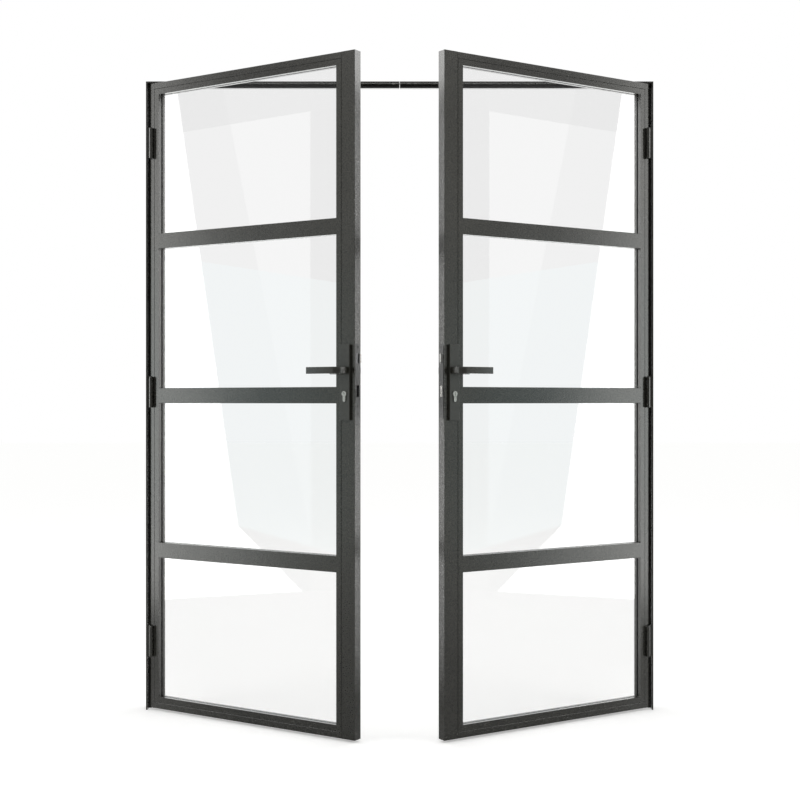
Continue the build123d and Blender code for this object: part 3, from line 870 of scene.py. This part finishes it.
@dataclass(frozen=True)
class HingeTrim:
    """Domed caps on the two ends of each hinge."""

    leaf: Leaf
    finishes: Finishes
    middles: tuple[float, ...] = (236 * MM, 1079 * MM, 1922 * MM)
    top: float = 49.0 * MM
    bottom: float = -52.4 * MM
    radius: float = 5.2 * MM
    dome: float = 1.6 * MM
    sunk: float = 0.4 * MM
    sunk_share: float = 0.98
    pole: float = 0.02
    rings: int = 12

    def build(self) -> None:
        """Top caps on the leaf, bottom caps on the frame."""
        side = self.leaf.side
        for name, level, way, body in (
            ("hinge_top_caps", self.top, 1, side.leaf),
            ("hinge_bottom_caps", self.bottom, -1, "frame"),
        ):
            shapes = [self._cap(middle + level, way) for middle in self.middles]
            piece = new_piece(side.prefix + name, Shape.joined(shapes), self.finishes.handle_coat)
            ride(piece, body, "handle_coat")

    def _cap(self, level: float, way: int) -> Shape:
        """One cap: the height over the knuckle is dome sqrt(1 - (r / R)^4).

        Args:
            level: height of the knuckle's end.
            way: 1 for a cap that points up and -1 for one that points down.

        Returns:
            The shape in the row frame.
        """
        share = np.linspace(1.0, self.pole, self.rings)
        profile = [(self.pole * self.radius, -self.sunk), (self.sunk_share * self.radius, -self.sunk)]
        profile += list(zip(self.radius * share, self.dome * np.sqrt(1 - share**4)))
        x, y = self.leaf.hinge[0] * self.leaf.side.value, self.leaf.hinge[1]
        return turned(profile).moved(lambda points: points * (1, 1, way) + (x, y, level))


@dataclass(frozen=True)
class SpliceScrews:
    """Screws on top of the head that hold its splice."""

    finishes: Finishes
    level: float = 2130.5 * MM
    depth: float = 38 * MM
    places: tuple[float, ...] = (-45 * MM, -20 * MM, 20 * MM, 45 * MM)
    screw: Screw = Screw(head=3.8 * MM, dome=0.2 * MM, recess=0.9 * MM)

    def build(self) -> None:
        """Four screws in one piece."""
        shapes = [
            self.screw.shape().moved(lambda points, x=x: points + (x, self.depth, self.level))
            for x in self.places
        ]
        shape = Shape.joined(shapes)
        piece = new_piece("splice_screw_heads", shape, self.finishes.bright_steel, SCREW_CRISP_PAST)
        ride(piece, "frame", "bright_steel")


@dataclass(frozen=True)
class Dressing:
    """Gives every solid of the frame and the leaves its finish, by its slot in the record."""

    frame: dict[str, Any]
    finishes: Finishes

    def apply(self) -> None:
        """Assign a material to every node."""
        slots = {part["node"]: part["material_slot"] for part in self.frame["record"]["subparts"]}
        for name, node in self.frame["nodes"].items():
            material = getattr(self.finishes, slots[name])
            if name.endswith("lock_case"):
                material = self.finishes.dull_zinc
            node.data.materials.clear()
            node.data.materials.append(material)
        log.info("dressed %d solids", len(slots))


# Stage


@dataclass(frozen=True)
class Viewpoint:
    """The photograph's camera, level and square to the frame.

    The centre is the pixel that it looks straight at, in a square picture of so many pixels a side.
    """

    place: Point = (0.0012, -4.7455, 1.0495)
    lens: float = 63.0
    sensor: float = 36.0
    rise: float = 0.0004
    sight: float = 200.0
    picture: int = 800
    centre: tuple[float, float] = (399.65, 400.33)

    @property
    def focal(self) -> float:
        """The lens in pixels."""
        return self.lens / self.sensor * self.picture

    def build(self) -> None:
        """Add the camera."""
        data = bpy.data.cameras.new("camera")
        data.lens, data.sensor_width, data.shift_y = self.lens, self.sensor, self.rise
        data.clip_end = self.sight
        camera = bpy.data.objects.new("camera", data)
        camera.location = self.place
        camera.rotation_euler = (math.pi / 2, 0, 0)
        bpy.context.scene.collection.objects.link(camera)
        bpy.context.scene.camera = camera

    def mirrored_in(self, leaf: Leaf, pixels: np.ndarray, wall: float) -> np.ndarray:
        """Where a wall beside the doors is seen in the glass of the left leaf.

        A ray from the camera meets the glass, turns over its normal and goes on to the wall.

        Args:
            leaf: the left leaf.
            pixels: rows of (x, y) in the picture.
            wall: x of the wall.

        Returns:
            Rows of (x, y, z) on the wall.
        """
        origin = np.array(self.place)
        offset = (pixels - self.centre) / self.focal
        ray = np.column_stack((offset[:, 0], np.ones(len(pixels)), -offset[:, 1]))
        normal = np.array((-math.sin(leaf.angle), -math.cos(leaf.angle), 0.0))
        on_glass = leaf.carry(np.array([(0.0, leaf.glass_front, 1.0)]))[0]
        reach = ((on_glass - origin) @ normal) / (ray @ normal)
        hit = origin + ray * reach[:, None]
        bounce = ray - 2 * (ray @ normal)[:, None] * normal
        return hit + bounce * ((wall - hit[:, 0]) / bounce[:, 0])[:, None]


class Upright(Enum):
    """Upright edges of the side panels where the left pane shows them: pixel x at y = 0, and slope."""

    REAR_END = (-260.0, 0.14)
    LAMP_JOINT = (60.0, 0.14)
    LAMP_EDGE = (163.6, 0.1397)
    GREY_EDGE = (205.2, 0.195)
    PALE_EDGE = (309.6, 0.0)
    SHADE_EDGE = (336.0, 0.0)
    FRONT_END = (420.0, 0.0)


class Level(Enum):
    """Level edges of the side panels where the left pane shows them: pixel y at x = 0, and slope."""

    TOP = (-420.0, 0.0)
    FLAG_TOP = (96.0, -0.12)
    FLAG_FOOT = (161.9, -0.1637)
    COOL_TOP = (230.5, 0.1547)
    COOL_FOOT = (458.1, 0.285)
    FOOT = (900.0, 0.285)


class Panel(Enum):
    """Lamps, cards and flags on each side of the studio, with their radiance in red, green and blue."""

    REAR_LAMP = (6.8, 6.8, 6.7)
    LAMP = (4.8, 4.8, 4.7)
    COOL_LAMP = (4.8, 5.0, 4.9)
    LOW_LAMP = (4.2, 4.3, 4.2)
    HIGH_CARD = (1.4, 1.4, 1.4)
    BLACK_FLAG = (0.05, 0.05, 0.05)
    GREY_FLAG = (0.25, 0.25, 0.25)
    DARK_FLAG = (0.2, 0.2, 0.2)
    GREY_CARD = (0.75, 0.75, 0.75)
    PALE_CARD = (1.25, 1.25, 1.25)
    SHADE = (0.15, 0.15, 0.15)
    COOL_GREY_CARD = (0.85, 1.15, 1.2)
    COOL_PALE_CARD = (1.05, 1.35, 1.4)
    COOL_SHADE = (0.6, 0.85, 0.85)
    LOW_GREY_CARD = (0.5, 0.5, 0.5)
    LOW_MID_CARD = (0.55, 0.55, 0.55)
    LOW_PALE_CARD = (0.8, 0.8, 0.8)
    FRONT_CARD = (1.6, 1.6, 1.5)
    LOW_FRONT_CARD = (1.5, 1.5, 1.4)


@dataclass(frozen=True)
class SideCards:
    """Panels on both sides, seen only in reflections, with the slanted edges that the panes show.

    They are a grid of quads. Its columns lie between the upright edges and its rows between the
    level edges. The panels are given row by row from the top, and from the rear to the front.
    """

    leaf: Leaf
    viewpoint: Viewpoint
    wall: float = -3.4
    floor_clearance: float = 2 * MM
    panels: tuple[tuple[Panel, ...], ...] = (
        (Panel.REAR_LAMP, Panel.LAMP, Panel.HIGH_CARD, Panel.HIGH_CARD, Panel.HIGH_CARD, Panel.FRONT_CARD),
        (Panel.REAR_LAMP, Panel.LAMP, Panel.BLACK_FLAG, Panel.GREY_FLAG, Panel.DARK_FLAG, Panel.FRONT_CARD),
        (Panel.REAR_LAMP, Panel.LAMP, Panel.GREY_CARD, Panel.PALE_CARD, Panel.SHADE, Panel.FRONT_CARD),
        (
            Panel.REAR_LAMP,
            Panel.COOL_LAMP,
            Panel.COOL_GREY_CARD,
            Panel.COOL_PALE_CARD,
            Panel.COOL_SHADE,
            Panel.LOW_FRONT_CARD,
        ),
        (
            Panel.REAR_LAMP,
            Panel.LOW_LAMP,
            Panel.LOW_GREY_CARD,
            Panel.LOW_MID_CARD,
            Panel.LOW_PALE_CARD,
            Panel.LOW_FRONT_CARD,
        ),
    )

    def build(self) -> None:
        """One card on each side."""
        corners = self.viewpoint.mirrored_in(self.leaf, self._grid().reshape(-1, 2), self.wall)
        corners[:, 2] = np.maximum(corners[:, 2], self.floor_clearance)
        rows, columns = len(Level), len(Upright)
        row, column = np.meshgrid(np.arange(rows - 1), np.arange(columns - 1), indexing="ij")
        start = row * columns + column
        quads = np.stack((start, start + 1, start + columns + 1, start + columns), axis=-1).reshape(-1, 4)
        radiance = np.repeat([panel.value for row in self.panels for panel in row], 4, axis=0)
        for side in Side:
            points = corners * (-side.value, 1, 1)
            self._card(side, points, quads, radiance)

    @staticmethod
    def _grid() -> np.ndarray:
        """Corners of the quads in the picture.

        An upright is x = a + b y and a level is y = c + d x, so x = (a + b c) / (1 - b d).

        Returns:
            Places as (levels, uprights, 2).
        """
        a, b = np.array([edge.value for edge in Upright]).T
        c, d = np.array([edge.value for edge in Level]).T
        x = (a[None] + b[None] * c[:, None]) / (1 - b[None] * d[:, None])
        return np.stack((x, c[:, None] + d[:, None] * x), axis=-1)

    def _card(self, side: Side, points: np.ndarray, quads: np.ndarray, radiance: np.ndarray) -> None:
        """Put the grid into a stage object with a colour on each face corner.

        Args:
            side: side of the card.
            points: corners in the row frame.
            quads: vertex numbers.
            radiance: colour of each face corner.
        """
        name = side.prefix + "card"
        mesh = bpy.data.meshes.new(name)
        mesh.from_pydata(points.tolist(), [], quads.tolist())
        layer = mesh.attributes.new("radiance", "FLOAT_COLOR", "CORNER")
        layer.data.foreach_set("color", np.column_stack((radiance, np.ones(len(radiance)))).ravel())
        mesh.materials.append(new_material(name, self._shader))
        card = bpy.data.objects.new(name, mesh)
        card.visible_camera = card.visible_diffuse = card.visible_transmission = False
        card.visible_shadow = card.visible_volume_scatter = False
        bpy.context.scene.collection.objects.link(card)
        log.info("made %s", name)

    @staticmethod
    def _shader(graph: Graph) -> bpy.types.NodeSocket:
        """Plain emission in the colour of each quad."""
        colour = graph.add("ShaderNodeAttribute", attribute_name="radiance").out("Color")
        return graph.add("ShaderNodeEmission", {"Color": colour, "Strength": 1.0}).out()


@dataclass(frozen=True)
class SoftLight:
    """A rectangular light that hangs in one place, faces another and shows in no reflection."""

    name: str
    place: Point
    aim: Point
    size: Range
    watts: float

    def build(self) -> None:
        """Add the light."""
        data = bpy.data.lights.new(self.name, "AREA")
        data.shape, data.energy = "RECTANGLE", self.watts
        data.size, data.size_y = self.size
        light = bpy.data.objects.new(self.name, data)
        light.visible_glossy = False
        turn = (Vector(self.aim) - Vector(self.place)).to_track_quat("-Z", "Y").to_matrix().to_4x4()
        light.matrix_world = Matrix.Translation(self.place) @ turn
        bpy.context.scene.collection.objects.link(light)


@dataclass(frozen=True)
class Studio:
    """Pale floor, soft lights and plain surroundings."""

    overhead: SoftLight = SoftLight("overhead", (0.0, 0.3, 4.4), (0.0, -0.1, 0.0), (4.0, 3.2), 50.0)
    side_place: Point = (3.3, -1.7, 1.9)
    side_aim: Point = (0.33, 0.0, 1.0)
    side_size: Range = (1.4, 2.2)
    side_watts: float = 18.0
    floor_half: float = 30.0
    floor_colour: Colour = (0.84, 0.84, 0.835)
    floor_glow: Colour = (1.0, 1.0, 0.99)
    glow: float = 0.36
    far_glow: float = 0.11
    far_reach: Range = (1.2, 4.5)
    # strength of the painted glow that the floor shows in reflections behind the doors, in place of a lit
    # backdrop's light
    rear_gloss: float = 2.2
    rear_reach: Range = (-0.3, 0.6)
    fill: float = 0.62
    front_gloss: float = 0.15
    rear_sky: float = 0.8
    rear_rise: Range = (-0.25, 0.3)
    high_sky: float = 1.2
    high_rise: Range = (0.12, 0.3)

    def build(self) -> None:
        """Make the floor, the surroundings and the lights."""
        self._floor()
        self._surroundings()
        self.overhead.build()
        for side in Side:
            place, aim = ((side.value * x, y, z) for x, y, z in (self.side_place, self.side_aim))
            SoftLight("side_" + side.name.lower(), place, aim, self.side_size, self.side_watts).build()
        log.info("made the stage")

    def _floor(self) -> None:
        """A wide floor, which shows as white as the background where no shadow falls."""
        half = self.floor_half
        mesh = bpy.data.meshes.new("floor")
        corners = [(-half, -half, 0), (half, -half, 0), (half, half, 0), (-half, half, 0)]
        mesh.from_pydata(corners, [], [(0, 1, 2, 3)])
        mesh.materials.append(new_material("pale_floor", self._floor_shader))
        floor = bpy.data.objects.new("floor", mesh)
        bpy.context.scene.collection.objects.link(floor)

    def _floor_shader(self, graph: Graph) -> bpy.types.NodeSocket:
        """Matt floor with a light of its own for the eye, which grows away from the lamps.

        In gloss it has a painted glow from the doors backwards, a painted pool of light as under a lit
        backdrop.

        Args:
            graph: graph to add to.

        Returns:
            The shader socket.
        """
        place = graph.add("ShaderNodeTexCoord").out("Object")
        reach = graph.add("ShaderNodeVectorMath", {0: place}, operation="LENGTH").value("Value")
        y = graph.add("ShaderNodeSeparateXYZ", {0: place}).value(1)
        seen = (reach.eased(*self.far_reach) * self.far_glow + self.glow) * graph.eye()
        # painted pool of light: in reflections the floor glows from the doors backwards
        glow = seen + y.eased(*self.rear_reach) * self.rear_gloss * graph.gloss()
        matt = graph.add("ShaderNodeBsdfDiffuse", {"Color": (*self.floor_colour, 1.0)}).out()
        lit = graph.add("ShaderNodeEmission", {"Color": (*self.floor_glow, 1.0), "Strength": glow}).out()
        return graph.add("ShaderNodeAddShader", {0: matt, 1: lit}).out()

    def _surroundings(self) -> None:
        """White for the eye and through glass, a studio for reflections and a plain fill for the rest.

        In reflections it is dim in front and below, lighter behind the doors and lightest above.
        """
        world = bpy.data.worlds.new("studio")
        bpy.context.scene.world = world
        world.use_nodes = True
        graph = Graph(world.node_tree)
        direction = graph.add("ShaderNodeTexCoord").out("Generated")
        parts = graph.add("ShaderNodeSeparateXYZ", {0: direction})
        y, z = parts.value(1), parts.value(2)
        rear, high = y.eased(*self.rear_rise) * self.rear_sky, z.eased(*self.high_rise) * self.high_sky
        studio = rear + high + self.front_gloss
        eye, gloss = graph.eye(), graph.gloss()
        level = eye + (1.0 - eye) * (gloss * studio + (1.0 - gloss) * self.fill)
        background = graph.add("ShaderNodeBackground", {"Color": WHITE, "Strength": level})
        graph.add("ShaderNodeOutputWorld", {"Surface": background.out()})


def main() -> None:
    """Build every sub-assembly in order."""
    bpy.context.scene.view_settings.view_transform = "Standard"
    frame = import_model()
    finishes = Finishes.make()
    Dressing(frame, finishes).apply()
    for side in Side:
        leaf = Leaf(side)
        LeverSet(leaf, finishes).build()
        LeafScrews(leaf, finishes).build()
        HingeTrim(leaf, finishes).build()
    left_leaf = Leaf(Side.LEFT)
    StrikeLip(left_leaf, finishes).build()
    SpliceScrews(finishes).build()
    viewpoint = Viewpoint()
    viewpoint.build()
    Studio().build()
    SideCards(left_leaf, viewpoint).build()
    bpy.context.view_layer.update()


if __name__ == "__main__":
    main()
